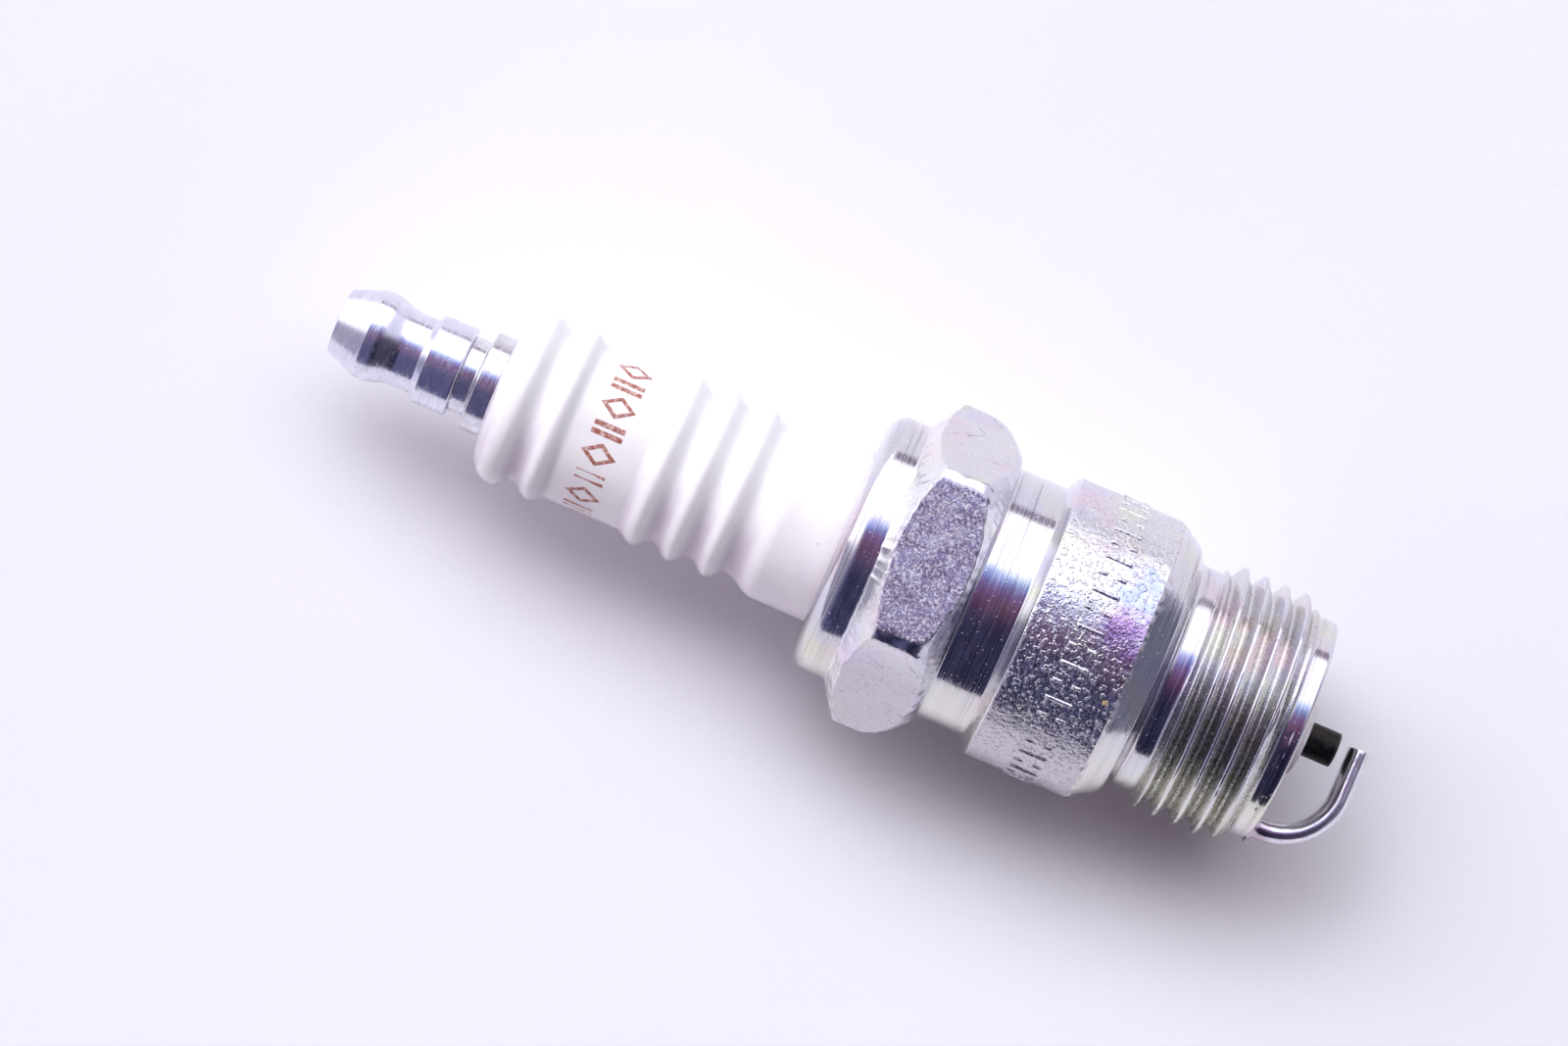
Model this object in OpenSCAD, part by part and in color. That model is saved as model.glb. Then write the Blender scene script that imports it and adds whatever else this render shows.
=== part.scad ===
// Spark plug with an 18 mm thread, a conical seat and a screw-on terminal nut.
// It lies along X with the firing end at +X, and rests on one hexagon flat, which faces -Z.
// The origin is on the plug's axis, in the gauge plane of the conical seat.

/* [Shell] */
// Outside diameter of the mounting thread
thread_d = 18; // [17.8:0.1:18.2]
// Pitch of the mounting thread
thread_pitch = 1.5; // [1.25:0.25:1.75]
// Length of the shell from the seat's gauge plane to the firing end
reach = 11.7; // [10.9:0.1:12.7]
// Width across the flats of the hexagon
hex_af = 20.64; // [20.3:0.01:22.2]
// Length of the hexagon, measured along the middle of a flat
hex_length = 5.35; // [5:0.05:6.4]
// Diameter of the barrel between the hexagon and the seat
barrel_d = 20.34; // [19.9:0.01:20.6]
// Full angle of the conical seat
seat_angle = 63; // [58:1:66]
// Diameter of the turned band between the hexagon and the crimped lip
band_d = 18.56; // [18.2:0.01:19]
// Number of raised bars around the barrel
mark_count = 48; // [0:1:60]

/* [Insulator] */
// Diameter of the insulator's plain body
insulator_d = 12.5; // [12:0.1:12.8]
// Diameter over the crests of the ribs
rib_crest_d = 12.34; // [12:0.01:12.6]
// Diameter at the bottom of the grooves between the ribs
rib_root_d = 10.86; // [10.4:0.01:11.2]
// Length of the plain band between the upper and the lower ribs
plain_band_length = 5.1; // [4.5:0.1:5.6]
// How far the insulator's nose stands out of the shell
nose_projection = 1.0; // [0:0.1:1.6]
// Diameter of the nose at its tip
nose_d = 5.6; // [5:0.1:6]

/* [Terminal] */
// Diameter of the terminal nut where a cap grips it
terminal_d = 6.35; // [6.2:0.01:6.5]
// Diameter of the terminal nut's neck
terminal_neck_d = 5.4; // [5:0.1:5.8]
// Outside diameter of the stud's thread
stud_thread_d = 4; // [3.8:0.1:4.1]
// Pitch of the stud's thread
stud_pitch = 0.7; // [0.6:0.05:0.8]
// Diameter of the stud's flange on top of the insulator
flange_d = 7.08; // [6.6:0.01:7.6]

/* [Electrodes] */
// Diameter of the centre electrode
centre_d = 2.45; // [2.2:0.05:2.5]
// How far the centre electrode stands out of the shell
centre_projection = 3.3; // [2.8:0.1:3.8]
// Gap between the two electrodes
gap = 0.75; // [0.6:0.05:1]
// Thickness of the ground electrode's wire
ground_t = 1.5; // [1.3:0.05:1.6]
// Width of the ground electrode's wire
ground_w = 2.6; // [2.2:0.1:3]
// How far the ground electrode's tip passes the plug's axis
ground_overhang = 0.67; // [0:0.01:1.2]

/* [Hidden] */
$fn = 64;

// Every outline below is a list of [radius, x] points, with x measured along the plug.
// Names that start with x_ are places along the plug, and names that start with r_ are radii.

// Shell, outside
r_barrel = barrel_d / 2;
r_band = band_d / 2;
r_thread = thread_d / 2;
r_thread_root = r_thread - 0.6134 * thread_pitch;
r_shank = r_thread_root - 0.08;
r_gauge = 9.75;
r_seat_end = 9.05;
r_waist = 9.1;
r_hex_corner = 0.98 * hex_af / 2 / cos(30);
r_pilot = r_thread_root - 0.13;
r_shell_end = r_pilot - 0.25;
x_shell_end = reach;
x_lip = -21.7;
x_band = -20.3;
x_hex_top = -18.9;
x_flat_top = -18.15;
x_flat_end = x_flat_top + hex_length;
x_waist = x_flat_end + 0.6;
x_barrel = -8.15;
x_barrel_end = -(r_barrel - r_gauge) / tan(seat_angle / 2);
x_seat_end = (r_gauge - r_seat_end) / tan(seat_angle / 2);
x_shank = x_seat_end + 0.6;
x_thread = 3.2;
x_thread_end = x_shell_end - 2.4;
x_pilot = x_shell_end - 1.3;
mark_w = 0.3;
mark_length = 2.1;
mark_h = 0.12;
x_marks = -4.15;

// Shell, inside
r_lip_bore = insulator_d / 2 + 0.2;
r_chamber = 7.6;
r_throat = 5.65;
r_ledge = 4.4;
r_mouth = 5.7;
x_chamber = -20.4;
x_chamber_end = -6.4;
x_throat = -5.2;
x_ledge = -0.9;
x_ledge_land = 0.1;
x_ledge_end = 1.9;
x_mouth = 3.2;
slack = 0.1;

// Insulator
r_insulator = insulator_d / 2;
r_crest = rib_crest_d / 2;
r_root = rib_root_d / 2;
r_plain_band = r_root + 0.14;
r_nose = nose_d / 2;
r_stud_bore = 2.4;
r_centre_bore = centre_d / 2 + 0.05;
x_insulator = -46.8;
x_top_crest = x_insulator + 1.8;
x_second_crest = x_top_crest + 2.8;
x_plain_band = x_second_crest + 1.2;
x_plain_band_end = x_plain_band + plain_band_length;
lower_rib_pitch = 2.7;
lower_ribs = 3;
x_lower_crest = x_plain_band_end + 1.4;
x_body = x_lower_crest + lower_rib_pitch * (lower_ribs - 0.5) + 2.15;
x_shoulder = -15.6;
x_shoulder_end = -8.4;
x_core_body = -7;
x_seat_cone = -1.6;
x_nose = x_shell_end + nose_projection;
x_stud_bore_end = -8.5;

// Terminal
r_terminal = terminal_d / 2;
r_terminal_neck = terminal_neck_d / 2;
r_terminal_tip = 2.26;
r_flange = flange_d / 2;
r_stud_thread = stud_thread_d / 2;
r_stud_root = r_stud_thread - 0.6134 * stud_pitch;
r_stud_shank = r_stud_bore - 0.1;
r_nut_bore = r_stud_thread + 0.05;
x_tip = -58.6;
x_grip = -56.4;
x_grip_end = -55.7;
x_neck = -53.8;
x_collar = -52;
x_nut_seat = -49.6;
x_flange = -48.3;
x_stud_top = -55.8;
x_stud_end = -24;

// Inside the insulator
x_upper_glass = -20.6;
x_resistor_end = -13.4;
x_centre_head = -10;
x_centre_tip = x_shell_end + centre_projection;
r_centre = centre_d / 2;
r_copper = 0.6;

// Ground electrode
r_ground = 6.95;
ground_corner = 0.4;
ground_bend = 4.2;
x_ground = x_centre_tip + gap + ground_t / 2;
x_bend = x_ground - ground_bend;

// Packing above the insulator's shoulder
ring_wire = 1.25;
r_ring = (r_insulator + r_chamber) / 2;
x_upper_ring = x_chamber + ring_wire / 2 + 0.1;
x_lower_ring = x_shoulder - ring_wire / 2;

// Places drawn along Z turn to lie along X.
module along_x() {
    rotate([0, 90, 0]) children();
}

// A solid turned from an outline of [radius, x] points.
module turned(outline) {
    along_x() rotate_extrude($fn = 96) polygon(outline);
}

// Points of an arc around centre, from angle a0 to a1, with its own radius in each direction.
function arc(centre, r_across, r_along, a0, a1, steps = 6) = [
    for (i = [0:steps])
        let (a = a0 + (a1 - a0) * i / steps)
        [centre[0] + r_across * cos(a), centre[1] + r_along * sin(a)]
];

// Points of a smooth wave from one [radius, x] to the next, without the last one.
function wave(from, to, steps = 6) = [
    for (i = [0:steps - 1])
        let (t = i / steps)
        [from[0] + (to[0] - from[0]) * (1 - cos(180 * t)) / 2, from[1] + (to[1] - from[1]) * t]
];

// A chain of waves through a list of [radius, x] points.
function waves(stops) = [
    for (i = [0:len(stops) - 2])
        each wave(stops[i], stops[i + 1])
];

// A right-hand screw groove of a 60-degree thread, cut from outside, along Z.
module screw_groove(r_major, r_minor, pitch, z_from, z_to, z_phase, steps) {
    clear = 0.3;
    half_root = pitch / 12;
    half_mouth = half_root + (r_major + clear - r_minor) * tan(30);
    section = [
        [r_major + clear, -half_mouth], [r_minor, -half_root],
        [r_minor, half_root], [r_major + clear, half_mouth]
    ];
    first = ceil((z_from - z_phase) / pitch * steps);
    last = floor((z_to - z_phase) / pitch * steps);
    rings = last - first + 1;
    points = [
        for (i = [first:last])
            for (p = section)
                let (a = 360 * i / steps)
                [p[0] * cos(a), p[0] * sin(a), p[1] + z_phase + pitch * i / steps]
    ];
    sides = [
        for (i = [0:rings - 2])
            for (k = [0:3])
                let (a = 4 * i + k, b = 4 * i + (k + 1) % 4)
                each [[a, a + 4, b], [b, a + 4, b + 4]]
    ];
    end = 4 * (rings - 1);
    caps = [[0, 1, 2], [0, 2, 3], [end, end + 2, end + 1], [end, end + 3, end + 2]];
    polyhedron(points, concat(sides, caps), convexity = 10);
}

// Outside of the shell without the hexagon, from the crimped lip to the firing end.
function shell_outline() = concat(
    [[r_lip_bore, x_lip + 0.3], [r_lip_bore + 0.3, x_lip]],
    arc([r_lip_bore + 0.95, x_band], r_band - r_lip_bore - 0.95, x_band - x_lip, -90, 0),
    [
        [r_band, x_hex_top], [r_waist, x_flat_end], [r_waist, x_barrel - 0.55],
        [r_barrel - 0.15, x_barrel - 0.08], [r_barrel, x_barrel + 0.1],
        [r_barrel, x_barrel_end], [r_seat_end, x_seat_end]
    ],
    arc([r_seat_end, x_shank], r_shank - r_seat_end, x_seat_end - x_shank, 90, 0),
    [
        [r_shank, x_thread], [r_thread, x_thread + 0.7], [r_thread, x_thread_end],
        [r_pilot, x_pilot], [r_pilot, x_shell_end - 0.25], [r_shell_end, x_shell_end]
    ]
);

// Inside of the shell, from the firing end back to the crimped lip.
function shell_bore() = [
    [r_mouth, x_shell_end], [r_mouth, x_mouth], [r_ledge, x_ledge_end],
    [r_ledge, x_ledge_land], [r_throat, x_ledge], [r_throat, x_throat],
    [r_chamber, x_chamber_end], [r_chamber, x_chamber], [r_chamber - 0.3, x_chamber - 0.3],
    [r_lip_bore, x_chamber - 0.3]
];

// The hexagon, with its corners rounded and both ends chamfered.
module hexagon() {
    intersection() {
        along_x() rotate(30)
            translate([0, 0, x_hex_top])
                cylinder(r = hex_af / 2 / cos(30), h = x_waist - x_hex_top, $fn = 6);
        turned([
            [r_ledge + 4, x_hex_top], [r_band, x_hex_top], [hex_af / 2, x_flat_top],
            [r_hex_corner, x_flat_top + 0.85], [r_hex_corner, x_flat_end - 2.1],
            [r_hex_corner - 0.45, x_flat_end - 1], [hex_af / 2, x_flat_end],
            [r_waist + 0.6, x_waist - 0.15],
            [r_waist, x_waist], [r_ledge + 4, x_waist]
        ]);
    }
}

// One raised bar, its middle at x on top of the barrel.
module barrel_mark(x, length) {
    root = 0.3;
    translate([x - length / 2, -mark_w / 2, r_barrel - root])
        cube([length, mark_w, root + mark_h]);
}

// Raised bars around the barrel, a long one and then two short ones end to end.
module barrel_marks() {
    short = 0.35 * mark_length;
    for (i = [0:1:mark_count - 1])
        rotate([360 * i / mark_count, 0, 0])
            if (i % 2 == 0)
                barrel_mark(x_marks, mark_length);
            else
                for (side = [-1, 1])
                    barrel_mark(x_marks + side * (mark_length - short) / 2, short);
}

module shell() {
    color("gainsboro")
        difference() {
            union() {
                turned(concat(shell_outline(), shell_bore()));
                difference() {
                    union() {
                        hexagon();
                        barrel_marks();
                    }
                    along_x() translate([0, 0, x_lip]) cylinder(r = r_chamber + 0.4, h = reach - x_lip);
                }
            }
            along_x()
                screw_groove(r_thread, r_thread_root, thread_pitch,
                    x_thread - 0.6, x_pilot + thread_pitch / 2, thread_pitch / 4, 36);
        }
}

// The ground electrode's section, a rectangle with rounded corners.
module wire_section() {
    w = ground_w / 2 - ground_corner;
    t = ground_t / 2 - ground_corner;
    square([2 * t, ground_w], center = true);
    square([ground_t, 2 * w], center = true);
    for (x = [-t, t])
        for (y = [-w, w])
            translate([x, y]) circle(ground_corner, $fn = 24);
}

module ground_electrode() {
    color("silver")
        translate([0, -r_ground, 0]) {
            translate([x_shell_end, 0, 0])
                rotate([90, 0, 90]) linear_extrude(x_bend - x_shell_end) wire_section();
            translate([x_bend, ground_bend, 0])
                rotate([0, 0, -90]) rotate_extrude(angle = 90)
                    translate([ground_bend, 0]) wire_section();
            translate([x_ground, ground_bend, 0])
                rotate([-90, 0, 0]) linear_extrude(r_ground - ground_bend + ground_overhang)
                    wire_section();
        }
}

// Outside of the insulator, from the terminal end to the nose.
function insulator_outline() = concat(
    [[r_stud_bore, x_insulator]],
    arc([r_crest - 2.3, x_top_crest], 2.3, x_insulator - x_top_crest, 90, 0, 9),
    waves([
        [r_crest, x_top_crest], [r_root, (x_top_crest + x_second_crest) / 2],
        [r_crest, x_second_crest], [r_plain_band, x_plain_band]
    ]),
    waves(concat(
        [[r_plain_band, x_plain_band_end]],
        [
            for (i = [0:lower_ribs - 1])
                each [
                    [r_crest, x_lower_crest + lower_rib_pitch * i],
                    [r_root, x_lower_crest + lower_rib_pitch * (i + 0.5)]
                ]
        ],
        [[r_insulator, x_body]]
    )),
    [
        [r_insulator, x_body], [r_insulator, x_shoulder],
        [r_chamber - slack, x_shoulder], [r_chamber - slack, x_shoulder_end],
        [r_throat - slack, x_core_body], [r_throat - slack, x_seat_cone],
        [r_ledge - 0.3, x_seat_cone + 1], [r_ledge - 0.3, x_ledge_end],
        [r_nose, x_nose - 0.5]
    ],
    arc([r_nose - 0.5, x_nose - 0.5], 0.5, 0.5, 0, 90),
    [
        [r_centre_bore, x_nose], [r_centre_bore, x_stud_bore_end + 0.8],
        [r_stud_bore, x_stud_bore_end]
    ]
);

module insulator() {
    color("white") turned(insulator_outline());
}

module terminal_nut() {
    color("lightsteelblue")
        turned(concat(
            [[0, x_tip - 0.12], [r_terminal_tip * 0.6, x_tip - 0.08], [r_terminal_tip, x_tip]],
            [[r_terminal - 0.1, x_grip - 0.2], [r_terminal, x_grip], [r_terminal, x_grip_end]],
            waves([[r_terminal, x_grip_end], [r_terminal_neck, x_neck]]),
            [
                [r_terminal_neck, x_neck], [r_terminal_neck, x_collar - 0.4],
                [r_terminal - 0.08, x_collar - 0.05], [r_terminal, x_collar + 0.1],
                [r_terminal, x_nut_seat - 0.2], [r_terminal - 0.2, x_nut_seat],
                [r_nut_bore, x_nut_seat], [r_nut_bore, x_stud_top - 0.7],
                [0, x_stud_top - 0.7 - r_nut_bore * tan(30)]
            ]
        ));
}

module terminal_stud() {
    relief = 0.9;
    color("silver")
        difference() {
            turned([
                [0, x_stud_top], [r_stud_root, x_stud_top], [r_stud_thread, x_stud_top + 0.45],
                [r_stud_thread, x_nut_seat - relief], [r_stud_root - 0.08, x_nut_seat - relief + 0.4],
                [r_stud_root - 0.08, x_nut_seat], [r_terminal_neck, x_nut_seat],
                [r_terminal_neck, x_flange], [r_flange - 0.15, x_flange],
                [r_flange, x_flange + 0.15], [r_flange, x_insulator - 0.1],
                [r_flange - 0.1, x_insulator], [r_stud_shank, x_insulator],
                [r_stud_shank, x_stud_end - 3], [r_stud_shank - 0.4, x_stud_end - 2.6],
                [r_stud_shank - 0.4, x_stud_end], [0, x_stud_end]
            ]);
            along_x()
                screw_groove(r_stud_thread, r_stud_root, stud_pitch,
                    x_stud_top - stud_pitch, x_nut_seat - relief + 0.15, 0, 20);
        }
}

// Glass melted around the stud's lower end.
module upper_glass_seal() {
    color("darkslategray")
        turned([
            [r_stud_shank - 0.4, x_stud_end - 2.4], [r_stud_bore, x_stud_end - 2.4],
            [r_stud_bore, x_upper_glass], [0, x_upper_glass],
            [0, x_stud_end], [r_stud_shank - 0.4, x_stud_end]
        ]);
}

module resistor() {
    color("dimgray")
        along_x() translate([0, 0, x_upper_glass])
            cylinder(r = r_stud_bore, h = x_resistor_end - x_upper_glass);
}

// Glass melted over the centre electrode's head.
module lower_glass_seal() {
    color("darkslategray")
        turned([
            [0, x_resistor_end], [r_stud_bore, x_resistor_end], [r_stud_bore, x_stud_bore_end - 0.3],
            [r_stud_bore - 0.3, x_stud_bore_end - 0.3], [r_stud_bore - 0.3, x_centre_head],
            [0, x_centre_head]
        ]);
}

module centre_electrode() {
    color("dimgray")
        turned([
            [0, x_centre_head], [r_stud_bore - 0.3, x_centre_head],
            [r_stud_bore - 0.3, x_stud_bore_end - 0.1],
            [r_centre, x_stud_bore_end + 0.65],
            [r_centre, x_centre_tip - 0.15], [r_centre - 0.15, x_centre_tip],
            [0, x_centre_tip], [0, x_shell_end - 2],
            [r_copper, x_shell_end - 2.6], [r_copper, x_centre_head + 1],
            [0, x_centre_head + 1]
        ]);
}

module centre_electrode_core() {
    color("peru")
        turned([
            [0, x_centre_head + 1], [r_copper, x_centre_head + 1],
            [r_copper, x_shell_end - 2.6], [0, x_shell_end - 2]
        ]);
}

// The gas-tight washer between the insulator's cone and the shell's ledge.
module seat_washer() {
    color("tan")
        turned([
            [r_ledge - 0.2, x_seat_cone + 0.95], [r_throat - 0.35, x_seat_cone + 0.25],
            [r_throat - 0.35, x_ledge + 0.25], [r_ledge - 0.2, x_ledge_land + 0.15]
        ]);
}

module packing_ring(x) {
    turned(arc([r_ring, x], ring_wire / 2, ring_wire / 2, 0, 345, 23));
}

module upper_packing_ring() {
    color("darkgray") packing_ring(x_upper_ring);
}

module lower_packing_ring() {
    color("darkgray") packing_ring(x_lower_ring);
}

module talc_packing() {
    color("ivory")
        turned([
            [r_insulator, x_upper_ring + ring_wire / 2], [r_chamber, x_upper_ring + ring_wire / 2],
            [r_chamber, x_lower_ring - ring_wire / 2], [r_insulator, x_lower_ring - ring_wire / 2]
        ]);
}

shell();
ground_electrode();
insulator();
terminal_nut();
terminal_stud();
upper_glass_seal();
resistor();
lower_glass_seal();
centre_electrode();
centre_electrode_core();
seat_washer();
talc_packing();
upper_packing_ring();
lower_packing_ring();
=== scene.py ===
"""A spark plug lying on a pale sheet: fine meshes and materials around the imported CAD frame.

Meshes are worked out in millimetres and stored in metres. The plug's axis is X, and every turned
shape is a grid of rings: x along the plug, and an angle that starts at +Y and turns towards +Z.
"""

import math

import bpy
import numpy as np
from mathutils import Matrix, Vector


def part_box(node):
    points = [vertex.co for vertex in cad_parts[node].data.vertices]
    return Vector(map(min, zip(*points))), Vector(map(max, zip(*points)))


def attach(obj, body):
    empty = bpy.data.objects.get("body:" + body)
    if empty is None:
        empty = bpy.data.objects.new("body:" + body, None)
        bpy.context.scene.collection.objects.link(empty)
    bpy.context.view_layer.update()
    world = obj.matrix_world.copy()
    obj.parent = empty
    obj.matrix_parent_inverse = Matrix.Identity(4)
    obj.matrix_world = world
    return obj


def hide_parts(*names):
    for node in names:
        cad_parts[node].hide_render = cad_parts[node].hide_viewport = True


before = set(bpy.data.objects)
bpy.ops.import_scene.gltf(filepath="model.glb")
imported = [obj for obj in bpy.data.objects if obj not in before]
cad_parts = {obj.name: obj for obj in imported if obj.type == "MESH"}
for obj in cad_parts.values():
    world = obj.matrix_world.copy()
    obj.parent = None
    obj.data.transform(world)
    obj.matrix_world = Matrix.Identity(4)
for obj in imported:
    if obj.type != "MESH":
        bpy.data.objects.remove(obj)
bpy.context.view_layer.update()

MM = 0.001
SEED = 11


def box_mm(node):
    """Lowest and highest corner of a CAD node, in millimetres."""
    low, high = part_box(node)
    return np.array(low) / MM, np.array(high) / MM


# ---------------------------------------------------------------- sizes, in millimetres

SHELL_LOW, SHELL_HIGH = box_mm("shell")
INSULATOR_LOW, INSULATOR_HIGH = box_mm("insulator")
NUT_LOW, NUT_HIGH = box_mm("terminal_nut")
STUD_LOW, STUD_HIGH = box_mm("terminal_stud")
CENTRE_LOW, CENTRE_HIGH = box_mm("centre_electrode")
GROUND_LOW, GROUND_HIGH = box_mm("ground_electrode")

HALF_FLATS = -SHELL_LOW[2]
R_CORNER = SHELL_HIGH[1]
X_LIP = SHELL_LOW[0]
X_END = SHELL_HIGH[0]

# Shell stations, as distances from the crimped lip or from the firing end
X_BAND = X_LIP + 1.4
X_HEX = X_LIP + 2.8
X_FLAT = X_LIP + 3.55
X_FLAT_END = X_FLAT + 5.35
X_WAIST = X_FLAT_END + 0.6
X_BARREL = X_LIP + 13.55
X_BARREL_END = X_END - 12.39
X_SEAT_END = X_END - 10.56
X_SHANK = X_SEAT_END + 0.6
X_THREAD = X_END - 8.5
X_THREAD_END = X_END - 2.4
X_PILOT = X_END - 1.3
X_PILOT_ROWS = X_END - 0.6

# The bore's stations
X_LIP_BORE = X_LIP + 0.45
X_LIP_INSIDE = X_LIP + 1
X_CHAMBER = X_LIP + 1.3
X_CHAMBER_END = X_END - 18.1
X_THROAT = X_END - 16.9
X_THROAT_END = X_END - 12.6
X_LEDGE = X_END - 11.6
X_LEDGE_END = X_END - 9.8
X_MOUTH = X_END - 8.5

R_LIP_BORE = 6.45
R_LIP_INSIDE = 7.15
R_LIP_EDGE = 7.4
R_BAND = 9.28
R_WAIST = 9.1
R_BARREL = 10.17
R_SEAT_END = 9.05
R_SHANK = 8.0
R_CREST = 9.0
R_ROOT = 8.08
R_PILOT = 7.95
R_MOUTH = 5.7
R_LEDGE = 4.4
R_THROAT = 5.65
R_CHAMBER = 7.6
PITCH = 1.5
X_THREAD_PHASE = X_END - 0.45

# Raised bars on the barrel
X_MARKS = X_END - 15.85
MARK_COUNT, MARK_LENGTH, MARK_WIDTH, MARK_HEIGHT = 48, 2.1, 0.36, 0.12

# Insulator
R_BODY = 6.25
R_RIB = 6.17
R_GROOVE = 5.43
R_PRINT_BAND = 5.57
R_COLLAR = 7.5
R_CORE_BODY = 5.55
R_NOSE_ROOT = 4.1
R_NOSE = 2.8
R_STUD_BORE = 2.4
R_ELECTRODE = 1.225

# Terminal
R_TERMINAL = NUT_HIGH[1]
R_TIP = 2.26
R_NECK = 2.7
R_FLANGE = STUD_HIGH[1]
R_STUD_THREAD = 2.0
R_NUT_BORE = 2.05
R_STUD_SHANK = 2.3
R_STUD_END = 1.9
STUD_PITCH = 0.7
R_STUD_ROOT = R_STUD_THREAD - 0.6134 * STUD_PITCH

# Electrodes
R_HEAD = 2.1
WIRE_THICKNESS = 1.5
WIRE_BEND = 4.2


# ---------------------------------------------------------------- mesh helpers

def waves(points, seed, length, count=40):
    """A smooth random field of about -1 to 1 at points, with features about length across."""
    rng = np.random.default_rng(seed)
    direction = rng.normal(size=(count, 3))
    direction /= np.linalg.norm(direction, axis=1)[:, None]
    direction *= (2 * math.pi / length) * rng.uniform(0.5, 1.5, count)[:, None]
    phase = rng.uniform(0, 2 * math.pi, count)
    total = np.zeros(points.shape[:-1])
    for vector, shift in zip(direction, phase):
        total += np.sin(points @ vector + shift)
    return total / math.sqrt(count)


def soft_min(a, b, radius):
    """The lower of a and b, blended over radius where they cross."""
    gap = np.clip(0.5 + 0.5 * (b - a) / radius, 0, 1)
    return b + (a - b) * gap - radius * gap * (1 - gap)


def soft_max(a, b, radius):
    return -soft_min(-a, -b, radius)


def smooth_step(t):
    t = np.clip(t, 0, 1)
    return t * t * (3 - 2 * t)


GUARD = 0.04


def rounded(corners, step=0.6, pieces=4):
    """An outline through (x, r, fillet radius) corners, with its long runs divided."""
    path = []
    last = len(corners) - 1
    for i, (x, r, fillet) in enumerate(corners):
        here = np.array([x, r])
        if fillet == 0 or i in (0, last):
            path.append(here)
            continue
        before = np.array(corners[i - 1][:2]) - here
        after = np.array(corners[i + 1][:2]) - here
        into, out = before / np.linalg.norm(before), after / np.linalg.norm(after)
        angle = math.acos(np.clip(into @ out, -1, 1))
        cut = fillet / math.tan(angle / 2)
        cut = min(cut, 0.49 * np.linalg.norm(before), 0.49 * np.linalg.norm(after))
        radius = cut * math.tan(angle / 2)
        centre = here + (into + out) / np.linalg.norm(into + out) * radius / math.sin(angle / 2)
        start, end = here + into * cut - centre, here + out * cut - centre
        a0, a1 = math.atan2(start[1], start[0]), math.atan2(end[1], end[0])
        turn = (a1 - a0 + math.pi) % (2 * math.pi) - math.pi
        for k in range(pieces + 1):
            a = a0 + turn * k / pieces
            path.append(centre + radius * np.array([math.cos(a), math.sin(a)]))
    return divided(path, step)


def divided(path, step):
    """The path with points added: a guard near each end of a run, and no run longer than step."""
    out = [path[0]]
    for a, b in zip(path, path[1:]):
        run = np.linalg.norm(b - a)
        if run < 1e-7:
            continue
        shares = []
        if run > 4 * GUARD:
            inner = np.linspace(GUARD / run, 1 - GUARD / run, max(2, math.ceil(run / step) + 1))
            shares = list(inner)
        for t in shares + [1.0]:
            out.append(a + (b - a) * t)
    return np.array(out)


def eased(stops, steps=12):
    """An outline that swings smoothly through (x, r) stops, without the last one."""
    path = []
    for (x0, r0), (x1, r1) in zip(stops, stops[1:]):
        t = np.arange(steps) / steps
        swing = (1 - np.cos(math.pi * t)) / 2
        path += list(np.stack([x0 + (x1 - x0) * t, r0 + (r1 - r0) * swing], 1))
    return path


def arc(centre, along, across, a0, a1, steps):
    """Points (x, r) of an elliptic arc; angle 0 points along +r, and 90 along +x."""
    a = np.radians(np.linspace(a0, a1, steps + 1))
    return list(np.stack([centre[0] + along * np.sin(a), centre[1] + across * np.cos(a)], 1))


def new_mesh(name, vertices, faces, slots=None):
    """An object from vertices in millimetres, with equal ones merged and empty faces dropped."""
    vertices = np.asarray(vertices, float)
    _, first, index = np.unique(
        np.round(vertices / 1e-5).astype(np.int64), axis=0, return_index=True, return_inverse=True
    )
    index = index.reshape(-1)
    kept, kept_slots = [], []
    for n, face in enumerate(faces):
        ring = []
        for v in face:
            v = int(index[v])
            if not ring or ring[-1] != v:
                ring.append(v)
        if len(ring) > 1 and ring[0] == ring[-1]:
            ring.pop()
        if len(ring) >= 3 and len(set(ring)) == len(ring):
            kept.append(ring)
            kept_slots.append(0 if slots is None else int(slots[n]))
    used = np.zeros(len(first), bool)
    used[[v for ring in kept for v in ring]] = True
    number = np.cumsum(used) - 1
    mesh = bpy.data.meshes.new(name)
    mesh.from_pydata(
        (vertices[first][used] * MM).tolist(), [], [[int(number[v]) for v in ring] for ring in kept]
    )
    mesh.polygons.foreach_set("material_index", kept_slots)
    mesh.polygons.foreach_set("use_smooth", [True] * len(kept))
    mesh.update()
    piece = bpy.data.objects.new(name, mesh)
    bpy.context.scene.collection.objects.link(piece)
    return piece


def polar(x, r, angle):
    """Points at x along the plug, r from its axis and angle from +Y towards +Z."""
    return np.stack([x, r * np.cos(angle), r * np.sin(angle)], -1)


def ring_faces(rows, columns, closed=False, first=0, shift=0):
    """Quads between rings. shift joins the last column to the ring that many rows further on."""
    faces = []
    for i in range(rows if closed else rows - 1):
        j = (i + 1) % rows
        here, there = first + i * columns, first + j * columns
        for k in range(columns - 1):
            faces.append((here + k, here + k + 1, there + k + 1, there + k))
        up = first + min(i + shift, rows - 1) * columns
        over = first + min(j + shift, rows - 1) * columns
        k = columns - 1
        faces.append((here + k, up, over, there + k))
    return faces


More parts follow.
